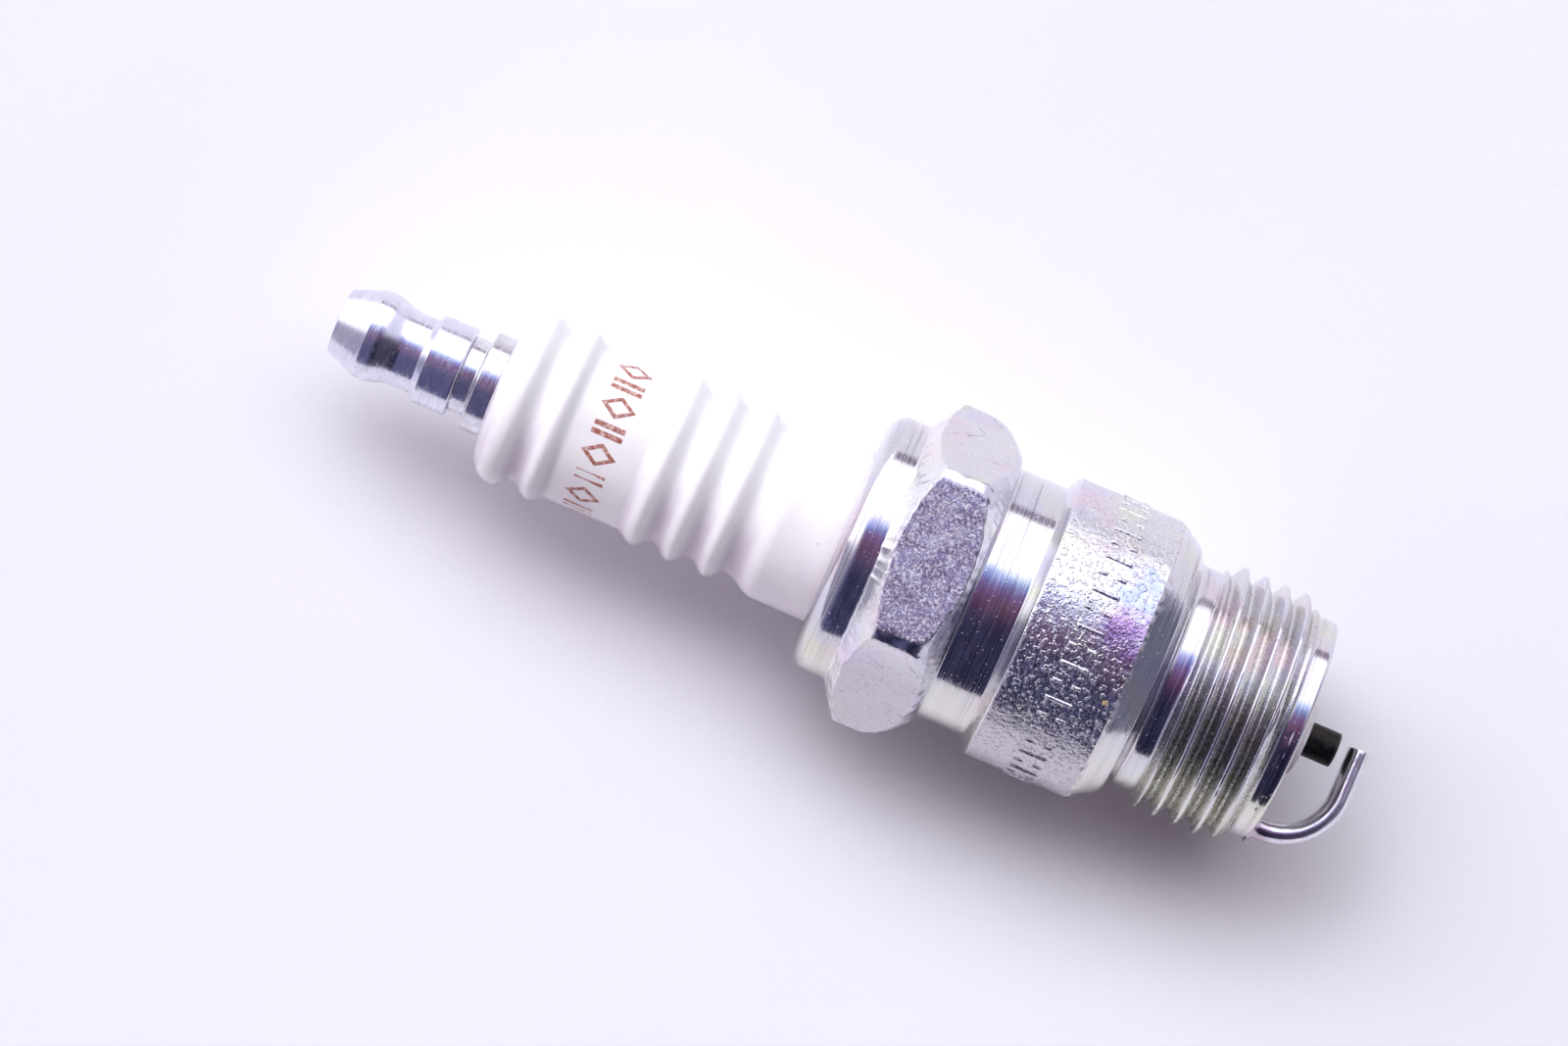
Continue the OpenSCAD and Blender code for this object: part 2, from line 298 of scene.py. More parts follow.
def turned(name, outline, columns=192, closed=True, shape=None):
    """A solid turned from an outline of (x, r) points. shape(points) may move them a little."""
    outline = np.asarray(outline, float)
    angle = np.linspace(0, 2 * math.pi, columns, endpoint=False)
    x = np.repeat(outline[:, :1], columns, 1)
    r = np.repeat(outline[:, 1:], columns, 1)
    points = polar(x, r, np.broadcast_to(angle, x.shape))
    if shape:
        points = shape(points)
    return new_mesh(name, points.reshape(-1, 3), ring_faces(len(outline), columns, closed))


# ---------------------------------------------------------------- shell

def hexagon_columns():
    """Angles of the shell's columns: one on each corner, and closer together beside it."""
    half_flat = 25.5
    beside = half_flat + 0.375 * np.arange(1, 12)
    flat = np.linspace(-half_flat, half_flat, 52)
    sector = np.concatenate([[-30], -beside[::-1], flat, beside]) + 30
    return np.radians(np.concatenate([sector + 60 * k for k in range(6)]))


SHELL_ANGLES = hexagon_columns()
EDGE = 0.1


def hexagon_radius(x, angle):
    """Radius of the hexagon, with rounded corners and an uneven turned chamfer on both ends."""
    on_rim = polar(np.zeros_like(x), 10.0, angle)
    ragged = 0.05 * waves(on_rim, SEED + 6, 3.0) + 0.045 * waves(on_rim, SEED + 7, 0.8)
    to_flat = angle % math.radians(60) - math.radians(30)
    flats = HALF_FLATS / np.cos(to_flat)
    first = HALF_FLATS + 1.5 * (x - X_FLAT + ragged)
    second = HALF_FLATS - 1.25 * (x - X_FLAT_END + ragged)
    dome = 0.3 + 1.9 * np.cos(angle) ** 2
    r = soft_min(soft_min(R_CORNER, second, dome), first, 0.25)
    r = soft_min(flats, r, EDGE)
    r = soft_min(r, R_WAIST + 4 * (X_WAIST - x), EDGE)
    return soft_max(r, np.where(x < X_FLAT, R_BAND, R_WAIST), EDGE)


def hexagon_rows():
    """Stations along the hexagon, close together at its chamfers."""
    fine = 0.07
    return np.concatenate([
        np.arange(X_HEX - 0.1, X_FLAT + 1.1, fine),
        np.linspace(X_FLAT + 1.1, X_FLAT_END - 1.4, 8, endpoint=False),
        np.arange(X_FLAT_END - 1.4, X_WAIST + 0.15, fine),
    ])


def thread_radius(x, angle):
    """Radius of the slightly worn mounting thread, from its run-out to the plain pilot end."""
    envelope = np.interp(
        x, [X_THREAD, X_THREAD + 0.7, X_THREAD_END, X_PILOT], [R_SHANK, R_CREST, R_CREST, R_PILOT]
    )
    centre = X_THREAD_PHASE + PITCH * angle / (2 * math.pi)
    away = np.abs((x - centre + PITCH / 2) % PITCH - PITCH / 2)
    flank = R_ROOT + (away - PITCH / 12) / math.tan(math.radians(30))
    groove = soft_max(flank, R_ROOT, 0.08)
    worn = waves(polar(x, envelope, angle), SEED + 8, 1.6)
    return soft_min(envelope, groove, 0.05) - 0.035 * np.clip(worn, 0, 1) * (groove > R_CREST - 0.1)


THREAD_SHARES = np.array([0, 0.06, 0.1, 0.16, 0.26, 0.36, 0.415, 0.45, 0.5])


def helical_rows(first, last, pitch, centre):
    """Stations, at angle 0, of rows that follow a screw: the same places in every turn."""
    turn = np.concatenate([-THREAD_SHARES[:0:-1][1:], THREAD_SHARES]) * pitch
    lowest = math.floor((first - pitch - centre) / pitch) - 1
    highest = math.ceil((last - centre) / pitch) + 1
    stations = [centre + pitch * n + turn for n in range(lowest, highest + 1)]
    return np.concatenate(stations), len(turn)


def helical_grid(first, last, pitch, centre, angles, radius):
    """A screw-shaped surface between two plain rings, as vertices and faces."""
    stations, per_turn = helical_rows(first, last, pitch, centre)
    x = stations[:, None] + pitch * angles[None, :] / (2 * math.pi)
    x = np.clip(x, first, last)
    angle = np.broadcast_to(angles, x.shape)
    points = polar(x, radius(x, angle), angle)
    return points.reshape(-1, 3), ring_faces(len(stations), len(angles), shift=per_turn)


def ring_grid(outline, angles):
    """Plain rings through an outline of (x, r) points, as points."""
    outline = np.asarray(outline)
    x = np.repeat(outline[:, :1], len(angles), 1)
    r = np.repeat(outline[:, 1:], len(angles), 1)
    return polar(x, r, np.broadcast_to(angles, x.shape))


def shell_outlines():
    """The shell's outlines: lip and band, waist to shank, and the bore back to the lip."""
    front = rounded([
        (X_LIP_BORE, R_LIP_BORE, 0), (X_LIP, R_LIP_BORE + 0.12, 0.25), (X_LIP, R_LIP_EDGE, 0),
    ], 0.3)
    lip = arc((X_BAND, R_LIP_EDGE), X_LIP - X_BAND, R_BAND - R_LIP_EDGE, 90, 0, 14)
    band = rounded([(X_BAND, R_BAND, 0), (X_HEX - 0.1, R_BAND, 0)], 0.3)
    start = np.concatenate([front, lip[1:], band[1:-1]])
    middle = rounded([
        (X_WAIST + 0.15, R_WAIST, 0), (X_BARREL - 0.62, R_WAIST, 0.18), (X_BARREL, R_BARREL, 0.3),
        (X_BARREL_END, R_BARREL, 0.12), (X_SEAT_END, R_SEAT_END, 0.25), (X_SHANK, R_SHANK, 0.6),
        (X_THREAD - 0.3, R_SHANK, 0),
    ], 0.35)
    bore = rounded([
        (X_PILOT_ROWS, R_PILOT, 0), (X_END, R_PILOT, 0.25), (X_END, R_MOUTH, 0.15),
        (X_MOUTH, R_MOUTH, 0.3), (X_LEDGE_END, R_LEDGE, 0.1), (X_LEDGE, R_LEDGE, 0.1),
        (X_THROAT_END, R_THROAT, 0), (X_THROAT, R_THROAT, 0), (X_CHAMBER_END, R_CHAMBER, 0),
        (X_CHAMBER, R_CHAMBER, 0), (X_LIP_INSIDE, R_LIP_INSIDE, 0), (X_LIP_INSIDE, R_LIP_BORE, 0),
        (X_LIP_BORE, R_LIP_BORE, 0),
    ], 2)
    return start, middle, bore


def roughened(points):
    """Small dents and waves in the shell's surface, deeper on the hexagon and the barrel."""
    x = points[..., 0]
    r = np.linalg.norm(points[..., 1:], axis=-1, keepdims=True)
    on_hexagon = smooth_step((x - X_HEX) / 0.5) * smooth_step((X_WAIST - x) / 0.4)
    on_barrel = smooth_step((x - X_BARREL) / 0.5) * smooth_step((X_BARREL_END + 0.6 - x) / 0.6)
    outside = r[..., 0] > R_CHAMBER + 0.3
    dents = 0.010 * waves(points, SEED, 2.6) + 0.006 * waves(points, SEED + 1, 0.9)
    nicks = 0.022 * np.clip(waves(points, SEED + 2, 0.7) - 0.3, 0, 1)
    at_edge = smooth_step(1 - np.abs(x - X_BARREL_END) / 0.45)
    chips = 0.07 * np.clip(waves(points, SEED + 9, 1.1), -0.3, 1)
    move = dents * (0.25 + on_hexagon + 0.8 * on_barrel)
    move = move - nicks * (on_hexagon + on_barrel) - chips * at_edge
    out = points.copy()
    out[..., 1:] += points[..., 1:] / r * (move * outside)[..., None]
    return out


def build_shell():
    """The metal shell, one closed mesh. Slot 0 is turned metal, 1 chamfers and 2 peened metal."""
    start, middle, bore = shell_outlines()
    angles = SHELL_ANGLES
    columns = len(angles)
    rows = hexagon_rows()
    x = np.repeat(rows[:, None], columns, 1)
    angle = np.broadcast_to(angles, x.shape)
    hexagon = polar(x, hexagon_radius(x, angle), angle)
    front = np.concatenate([ring_grid(start, angles), hexagon, ring_grid(middle, angles)])
    thread, thread_faces = helical_grid(
        middle[-1][0], X_PILOT_ROWS, PITCH, X_THREAD_PHASE, angles, thread_radius
    )
    back = ring_grid(bore, angles)
    vertices = np.concatenate([roughened(front).reshape(-1, 3), thread, back.reshape(-1, 3)])
    offset = len(front) * columns
    faces = ring_faces(len(front), columns)
    faces += [tuple(offset + v for v in face) for face in thread_faces]
    faces += ring_faces(len(back), columns, first=offset + len(thread))
    middles = np.array([vertices[list(face)].mean(0) for face in faces])
    slots = shell_slots(middles)
    return new_mesh("shell_body", vertices, faces, slots)


def shell_slots(middles):
    """Material slot of each face of the shell, from where its middle is."""
    x = middles[:, 0]
    r = np.linalg.norm(middles[:, 1:], axis=1)
    angle = np.arctan2(middles[:, 2], middles[:, 1]) % (2 * math.pi)
    to_flat = angle % math.radians(60) - math.radians(30)
    on_flat = (np.abs(r * np.cos(to_flat) - HALF_FLATS) < 0.05) & (x > X_HEX) & (x < X_WAIST)
    on_barrel = (x > X_BARREL) & (x < X_BARREL_END) & (r > R_BARREL - 0.1)
    on_chamfer = (x > X_HEX) & (x < X_WAIST) & (r > R_BAND - 0.1)
    return np.where(on_flat | on_barrel, 2, np.where(on_chamfer, 1, 0))


# ---------------------------------------------------------------- raised and printed marks

def patch(centre_x, centre_angle, radius, length, width, height, sunk):
    """A low pillow on a cylinder, as vertices and faces. Its rim is sunk below the surface."""
    along = np.array([-1, -0.96, -0.86, -0.7, -0.35, 0, 0.35, 0.7, 0.86, 0.96, 1])
    across = np.array([-1, -0.8, -0.5, 0, 0.5, 0.8, 1])
    u, v = np.meshgrid(along, across, indexing="ij")
    from_end = (1 - np.abs(u)) * length / 2
    from_side = (1 - np.abs(v)) * width / 2
    rise = smooth_step(np.minimum(from_end, from_side) / (0.42 * width))
    rim = (np.abs(u) == 1) | (np.abs(v) == 1)
    x = centre_x + u * length / 2
    angle = centre_angle + v * width / 2 / radius
    top = polar(x, radius + np.where(rim, -sunk, height * rise), angle)
    base = polar(x, np.full_like(x, radius - sunk), angle)
    rows, columns = u.shape
    low = rows * columns
    faces = []
    for i in range(rows - 1):
        for k in range(columns - 1):
            a = i * columns + k
            b, c, d = a + 1, a + columns + 1, a + columns
            faces.append((a, b, c, d))
            faces.append((low + d, low + c, low + b, low + a))
    return np.concatenate([top.reshape(-1, 3), base.reshape(-1, 3)]), faces


def joined(name, parts):
    """One object from several (vertices, faces) parts."""
    vertices, faces, count = [], [], 0
    for points, part_faces in parts:
        vertices.append(points)
        faces += [tuple(count + v for v in face) for face in part_faces]
        count += len(points)
    return new_mesh(name, np.concatenate(vertices), faces)


def build_barrel_marks():
    """Plain raised bars around the barrel: a long one, then two short ones end to end."""
    short = 0.35 * MARK_LENGTH
    aside = (MARK_LENGTH - short) / 2
    parts = []
    for i in range(MARK_COUNT):
        angle = math.radians(90 + 360 * i / MARK_COUNT)
        bars = [(0, MARK_LENGTH)] if i % 2 == 0 else [(-aside, short), (aside, short)]
        for dx, length in bars:
            bar = patch(X_MARKS + dx, angle, R_BARREL, length, MARK_WIDTH, MARK_HEIGHT, 0.06)
            parts.append(bar)
    return joined("barrel_marks", parts)


def open_diamond(x, s, half_length, half_width, stroke, radius):
    """A printed diamond outline on a cylinder, centred at x and s around it: vertices and faces."""
    corners = [(1, 0), (0, 1), (-1, 0), (0, -1), (1, 0)]
    path = []
    for (u0, v0), (u1, v1) in zip(corners, corners[1:]):
        path += [(u0 + (u1 - u0) * t, v0 + (v1 - v0) * t) for t in np.arange(8) / 8]
    path = np.array(path)
    reach = math.hypot(half_length, half_width) / (half_length * half_width) * stroke / 2
    low, high = -0.02, 0.012
    section = [(1 + reach, low), (1 + 0.7 * reach, high), (1 - 0.7 * reach, high), (1 - reach, low)]
    rings = []
    for size, rise in section:
        angle = (s + path[:, 1] * size * half_width) / radius
        rings.append(polar(x + path[:, 0] * size * half_length, radius + rise, angle))
    return np.concatenate(rings), ring_faces(len(section), len(path), closed=True)


def build_print():
    """A printed row of plain bars and open diamonds on the insulator's plain band."""
    length, stroke, spacing = 2.3, 0.34, 1.75
    x = INSULATOR_LOW[0] + 8.1
    start = math.radians(38) * R_PRINT_BAND
    parts = []
    for i in range(9):
        s = start + spacing * i
        if i % 2 == 0:
            parts.append(open_diamond(x, s, length / 2 - 0.12, 0.68, stroke, R_PRINT_BAND))
        else:
            for side in (-0.3, 0.3):
                angle = (s + side) / R_PRINT_BAND
                parts.append(patch(x, angle, R_PRINT_BAND, length, 1.25 * stroke, 0.012, 0.02))
    return joined("insulator_print", parts)


# ---------------------------------------------------------------- insulator and terminal

def insulator_outline():
    """The insulator's outline, from its top over the ribs to the nose and back through the bore."""
    top, nose = INSULATOR_LOW[0], INSULATOR_HIGH[0]
    rounding = 2.3
    first, second = top + 1.8, top + 4.6
    band, band_end = top + 5.8, top + 10.9
    lower, pitch = top + 12.3, 2.7
    body = lower + 2.5 * pitch + 2.15
    collar, collar_end = nose - 28.3, nose - 21.1
    core, cone = nose - 19.7, nose - 14.3
    neck, neck_end = nose - 13.3, nose - 10.8
    bore_step, bore_step_end = nose - 21.2, nose - 20.4
    r_bore = R_ELECTRODE + 0.05

    path = arc((first, R_RIB - rounding), top - first, rounding, 90, 0, 16)
    upper_ribs = [(first, R_RIB), (first + 1.4, R_GROOVE), (second, R_RIB), (band, R_PRINT_BAND)]
    path += eased(upper_ribs)[1:]
    ends = [np.array([band, R_PRINT_BAND]), np.array([band_end, R_PRINT_BAND])]
    path += list(divided(ends, 0.6))[:-1]
    lower_ribs = [(band_end, R_PRINT_BAND)]
    for i in range(3):
        lower_ribs += [(lower + pitch * i, R_RIB), (lower + pitch * (i + 0.5), R_GROOVE)]
    path += eased(lower_ribs + [(body, R_BODY)])
    path += list(rounded([
        (body, R_BODY, 0), (collar, R_BODY, 0), (collar, R_COLLAR, 0.3),
        (collar_end, R_COLLAR, 0.4), (core, R_CORE_BODY, 0.3), (cone, R_CORE_BODY, 0.3),
        (neck, R_NOSE_ROOT, 0.3), (neck_end, R_NOSE_ROOT, 0.6), (nose, R_NOSE, 0.45),
        (nose, r_bore, 0.05),
        (bore_step_end, r_bore, 0), (bore_step, R_STUD_BORE, 0), (top, R_STUD_BORE, 0.1),
    ], 0.7))
    path += list(rounded([(top, R_STUD_BORE, 0), (top, R_RIB - rounding, 0)], 0.7))[1:-1]
    return path


def build_insulator():
    """The insulator, very slightly out of round."""
    def uneven(points):
        move = 1 + 0.0016 * waves(points, SEED + 3, 5.0)
        return points * np.stack([np.ones_like(move), move, move], -1)

    return turned("insulator_body", insulator_outline(), 224, shape=uneven)


def build_nut():
    """The screw-on terminal nut, with its blind bore."""
    tip, seat = NUT_LOW[0] + 0.12, NUT_HIGH[0]
    grip, neck, collar = tip + 2.2, tip + 4.8, tip + 6.6
    dome = [(tip - 0.12, 0), (tip - 0.1, 0.8), (tip - 0.05, 1.6)]
    nose = rounded([
        (tip - 0.05, 1.6, 0), (tip, R_TIP, 0.12), (grip - 0.1, R_TERMINAL - 0.08, 0.1),
        (grip + 0.05, R_TERMINAL, 0.05), (grip + 0.7, R_TERMINAL, 0),
    ], 0.3)
    taper = eased([(grip + 0.7, R_TERMINAL), (neck, R_NECK)], 16)
    rest = rounded([
        (neck, R_NECK, 0), (collar - 0.42, R_NECK, 0.12), (collar, R_TERMINAL, 0.1),
        (seat, R_TERMINAL, 0.14), (seat, R_NUT_BORE, 0.1), (seat - 6.9, R_NUT_BORE, 0),
        (seat - 8.08, 0, 0),
    ], 0.3)
    outline = dome + list(nose) + taper + list(rest)
    return turned("terminal_nut_body", outline, 160, closed=False)


def stud_radius(x, angle):
    """Radius of the stud's thread, with a chamfered end and a relief at its shoulder."""
    top, seat, root = STUD_LOW[0], NUT_HIGH[0], R_STUD_ROOT
    envelope = np.interp(
        x, [top, top + 0.45, seat - 0.9, seat - 0.5, seat],
        [root, R_STUD_THREAD, R_STUD_THREAD, root - 0.08, root - 0.08],
    )
    centre = top + STUD_PITCH * angle / (2 * math.pi)
    away = np.abs((x - centre + STUD_PITCH / 2) % STUD_PITCH - STUD_PITCH / 2)
    groove = soft_max(root + (away - STUD_PITCH / 12) / math.tan(math.radians(30)), root, 0.04)
    return soft_min(envelope, groove, 0.03)


def build_stud():
    """The terminal stud: threaded end, shoulder, flange and shank."""
    top, seat, end = STUD_LOW[0], NUT_HIGH[0], STUD_HIGH[0]
    flange, flange_end = INSULATOR_LOW[0] - 1.5, INSULATOR_LOW[0]
    angles = np.linspace(0, 2 * math.pi, 128, endpoint=False)
    root = R_STUD_ROOT
    face = ring_grid([(top, 0), (top, root * 0.5), (top, root)], angles)
    thread, thread_faces = helical_grid(top, seat, STUD_PITCH, top, angles, stud_radius)
    outline = rounded([
        (seat, root - 0.08, 0), (seat, R_NECK, 0.1), (flange - 0.12, R_NECK, 0.15),
        (flange, R_FLANGE, 0.12), (flange_end, R_FLANGE, 0.12), (flange_end, R_STUD_SHANK, 0),
        (end - 3, R_STUD_SHANK, 0.1), (end - 2.6, R_STUD_END, 0.1), (end, R_STUD_END, 0.1),
        (end, 0, 0),
    ], 0.5)
    body = ring_grid(outline, angles)
    vertices = np.concatenate([face.reshape(-1, 3), thread, body.reshape(-1, 3)])
    faces = ring_faces(len(face), len(angles))
    offset = face.shape[0] * face.shape[1]
    faces += [tuple(offset + v for v in f) for f in thread_faces]
    faces += ring_faces(len(body), len(angles), first=offset + len(thread))
    return new_mesh("terminal_stud_body", vertices, faces)


# ---------------------------------------------------------------- electrodes

def build_centre_electrode():
    """The centre electrode, with the hollow that holds its copper core."""
    head, tip = CENTRE_LOW[0], CENTRE_HIGH[0]
    core_low, core_high = box_mm("centre_electrode_core")
    outline = rounded([
        (head, 0, 0), (head, R_HEAD, 0.1), (head + 1.3, R_HEAD, 0.1),
        (head + 2.1, R_ELECTRODE, 0.3), (tip, R_ELECTRODE, 0.14), (tip, 0, 0), (core_high[0], 0, 0),
        (core_high[0] - 0.6, core_high[1], 0), (core_low[0], core_high[1], 0), (core_low[0], 0, 0),
    ], 0.6)
    return turned("centre_electrode_tip", outline, 96)


def wire_section(thickness, width, count=48, power=2.1):
    """A flattened round wire's section: (across, z) points of a superellipse."""
    a = np.linspace(0, 2 * math.pi, count, endpoint=False)
    c, s = np.cos(a), np.sin(a)
    return np.stack([
        thickness / 2 * np.sign(c) * np.abs(c) ** (2 / power),
        width / 2 * np.sign(s) * np.abs(s) ** (2 / power),
    ], 1)


def ground_electrode_path():
    """The wire's centre line as rows of (x, y, growth of its section, turn), from weld to tip."""
    x_out = GROUND_HIGH[0] - WIRE_THICKNESS / 2
    y_root = GROUND_LOW[1] + WIRE_THICKNESS / 2
    y_tip = GROUND_HIGH[1]
    y_last = y_tip - 0.12
    centre_x, centre_y = x_out - WIRE_BEND, y_root + WIRE_BEND
    weld = [(-0.12, 0.42), (0.0, 0.3), (0.1, 0.17), (0.22, 0.08), (0.4, 0.0)]
    rows = [(X_END + dx, y_root, growth, 0.0) for dx, growth in weld]
    for turn in np.radians(np.linspace(0, 90, 40)):
        x, y = centre_x + WIRE_BEND * math.sin(turn), centre_y - WIRE_BEND * math.cos(turn)
        rows.append((x, y, 0.0, turn))
    for y in np.linspace(centre_y, y_last, 16)[1:]:
        rows.append((x_out, y, 0.0, math.pi / 2))
    for dy, growth in ((0.06, -0.03), (0.1, -0.08), (0.12, -0.16), (0.12, -0.45), (0.12, -0.75)):
        rows.append((x_out, y_last + dy, growth, math.pi / 2))
    return np.array(rows)


def build_ground_electrode():
    """The ground electrode, swept from its weld on the shell's end to its tip beyond the axis."""
    path = ground_electrode_path()
    section = wire_section(WIRE_THICKNESS, GROUND_HIGH[2] - GROUND_LOW[2])
    size = np.linalg.norm(section, axis=1, keepdims=True)
    points = np.empty((len(path), len(section), 3))
    for ring, (x, y, growth, turn) in zip(points, path):
        grown = section * np.maximum(0, 1 + growth / size)
        ring[:, :2] = np.array([x, y]) + grown[:, :1] * np.array([math.sin(turn), -math.cos(turn)])
        ring[:, 2] = grown[:, 1]
    lumps = np.clip(1 - (points[..., 0] - X_END) / 0.5, 0, 1) * 0.09 + 0.006
    middle = np.concatenate([path[:, :2], np.zeros((len(path), 1))], axis=1)
    away = points - middle[:, None, :]
    reach = np.linalg.norm(away, axis=-1, keepdims=True)
    points += away / np.maximum(reach, 0.05) * (waves(points, SEED + 5, 0.8) * lumps)[..., None]
    count = len(section)
    vertices = np.concatenate([points.reshape(-1, 3), middle[[0, -1]]])
    faces = [tuple(reversed(face)) for face in ring_faces(len(points), count)]
    start, end = len(vertices) - 2, len(vertices) - 1
    last = (len(points) - 1) * count
    for k in range(count):
        n = (k + 1) % count
        faces += [(start, n, k), (end, last + k, last + n)]
    return new_mesh("ground_electrode_wire", vertices, faces)


# ---------------------------------------------------------------- shader arithmetic

def rgb(red, green, blue):
    return (red, green, blue, 1.0)


class Value:
    """A shader node's output. Numbers take ordinary arithmetic."""

    def __init__(self, graph, socket):
        self.graph, self.socket = graph, socket

    def maths(self, operation, b=0.0, c=0.0):
        return self.graph.node("Math", {0: self, 1: b, 2: c}, operation=operation)

    def __add__(self, other):
        return self.maths("ADD", other)

    def __sub__(self, other):
        return self.maths("SUBTRACT", other)

    def __rsub__(self, other):
        return self.graph.node("Math", {0: other, 1: self}, operation="SUBTRACT")

    def __mul__(self, other):
        return self.maths("MULTIPLY", other)

    def __truediv__(self, other):
        return self.maths("DIVIDE", other)

    def __abs__(self):
        return self.maths("ABSOLUTE")

    def linear(self, slope, base):
        return self.maths("MULTIPLY_ADD", slope, base)

    def spread(self, low, high, to_low=0.0, to_high=1.0):
        """Carries the range low to high smoothly to the range to_low to to_high."""
        inputs = {
            "Value": self, "From Min": low, "From Max": high, "To Min": to_low, "To Max": to_high,
        }
        return self.graph.node("MapRange", inputs, "Result", interpolation_type="SMOOTHSTEP")


class Graph:
    """Adds nodes to a shader's tree."""

    def __init__(self, tree):
        self.tree = tree

    def wire(self, value, socket):
        """Feeds an input from another node, or sets it."""
        if isinstance(value, Value):
            self.tree.links.new(value.socket, socket)
        else:
            socket.default_value = value

    def node(self, kind, inputs=None, output=0, **settings):
        """One output of a new shader node with these settings and inputs."""
        made = self.tree.nodes.new("ShaderNode" + kind)
        for key, value in settings.items():
            setattr(made, key, value)
        for key, value in (inputs or {}).items():
            self.wire(value, made.inputs[key])
        return Value(self, made.outputs[output])

    def split(self, vector):
        made = self.node("SeparateXYZ", {0: vector}).socket.node
        return [Value(self, socket) for socket in made.outputs]

    def blend(self, share, a, b, mode="MIX"):
        """Colour a, turning into b as share goes from 0 to 1."""
        return self.node("Mix", {0: share, 6: a, 7: b}, 2, data_type="RGBA", blend_type=mode)


class Finish(Graph):
    """A new material, with the place of each shaded point in millimetres and the colour so far."""

    def __init__(self, name, *colour):
        self.material = bpy.data.materials.new(name)
        self.material.use_nodes = True
        super().__init__(self.material.node_tree)
        here = self.node("TexCoord", output="Object")
        per_mm = (1 / MM, 1 / MM, 1 / MM)
        self.mm = self.node("VectorMath", {0: here, 1: per_mm}, operation="MULTIPLY")
        self.x, self.y, self.z = self.split(self.mm)
        self.r = (self.y * self.y + self.z * self.z).maths("MAXIMUM", 1e-4).maths("SQRT")
        self.colour = rgb(*colour)

    def noise(self, size, detail=2.0, shift=0.0, rough=0.5, place=None):
        """Noise with features of about size millimetres; shift gives another pattern."""
        shifts = (shift, 0.7 * shift, 1.3 * shift)
        moved = self.node("VectorMath", {0: place or self.mm, 1: shifts}, operation="ADD")
        inputs = {"Vector": moved, "Scale": 1 / size, "Detail": detail, "Roughness": rough}
        return self.node("TexNoise", inputs, "Fac")

    def streaks(self, along, turning, detail, shift, rough=0.5):
        """Noise in streaks around the axis: fine along it, and slow as it turns."""
        y, z = self.y / self.r * turning, self.z / self.r * turning
        parts = {"X": self.x / along, "Y": y, "Z": z}
        return self.noise(1.0, detail, shift, rough, self.node("CombineXYZ", parts))

    def near(self, point, radius):
        """1 near a point in millimetres, falling to 0 at radius."""
        away = self.node("VectorMath", {0: self.mm, 1: tuple(point)}, "Value", operation="DISTANCE")
        return away.spread(0.6 * radius, radius, 1.0, 0.0)

    def paint(self, share, red, green, blue):
        """Lays a colour over what is there, by a share from 0 to 1."""
        self.colour = self.blend(share, self.colour, rgb(red, green, blue))

    def paint_plating_tints(self, amount):
        """The faint lilac, yellow-green and pink clouds of passivated zinc."""
        tints = [((0.62, 0.55, 0.86), 5.0), ((0.80, 0.82, 0.52), 3.6), ((0.88, 0.60, 0.68), 2.8)]
        for index, (tint, size) in enumerate(tints):
            cloud = self.noise(size, 2.0, 31.0 * (index + 1))
            self.paint(cloud.spread(0.50, 0.72, 0.0, amount), *tint)

    def surface(self, roughness, height, metallic=1.0, ior=None):
        """Wires up the surface, with its height in millimetres, and returns the material."""
        inputs = self.tree.nodes["Principled BSDF"].inputs
        self.wire(self.colour, inputs["Base Color"])
        self.wire(roughness, inputs["Roughness"])
        self.wire(metallic, inputs["Metallic"])
        if ior:
            self.wire(ior, inputs["IOR"])
        bump = self.node("Bump", {"Height": height, "Distance": MM, "Strength": 1.0})
        self.wire(bump, inputs["Normal"])
        return self.material


# ---------------------------------------------------------------- materials

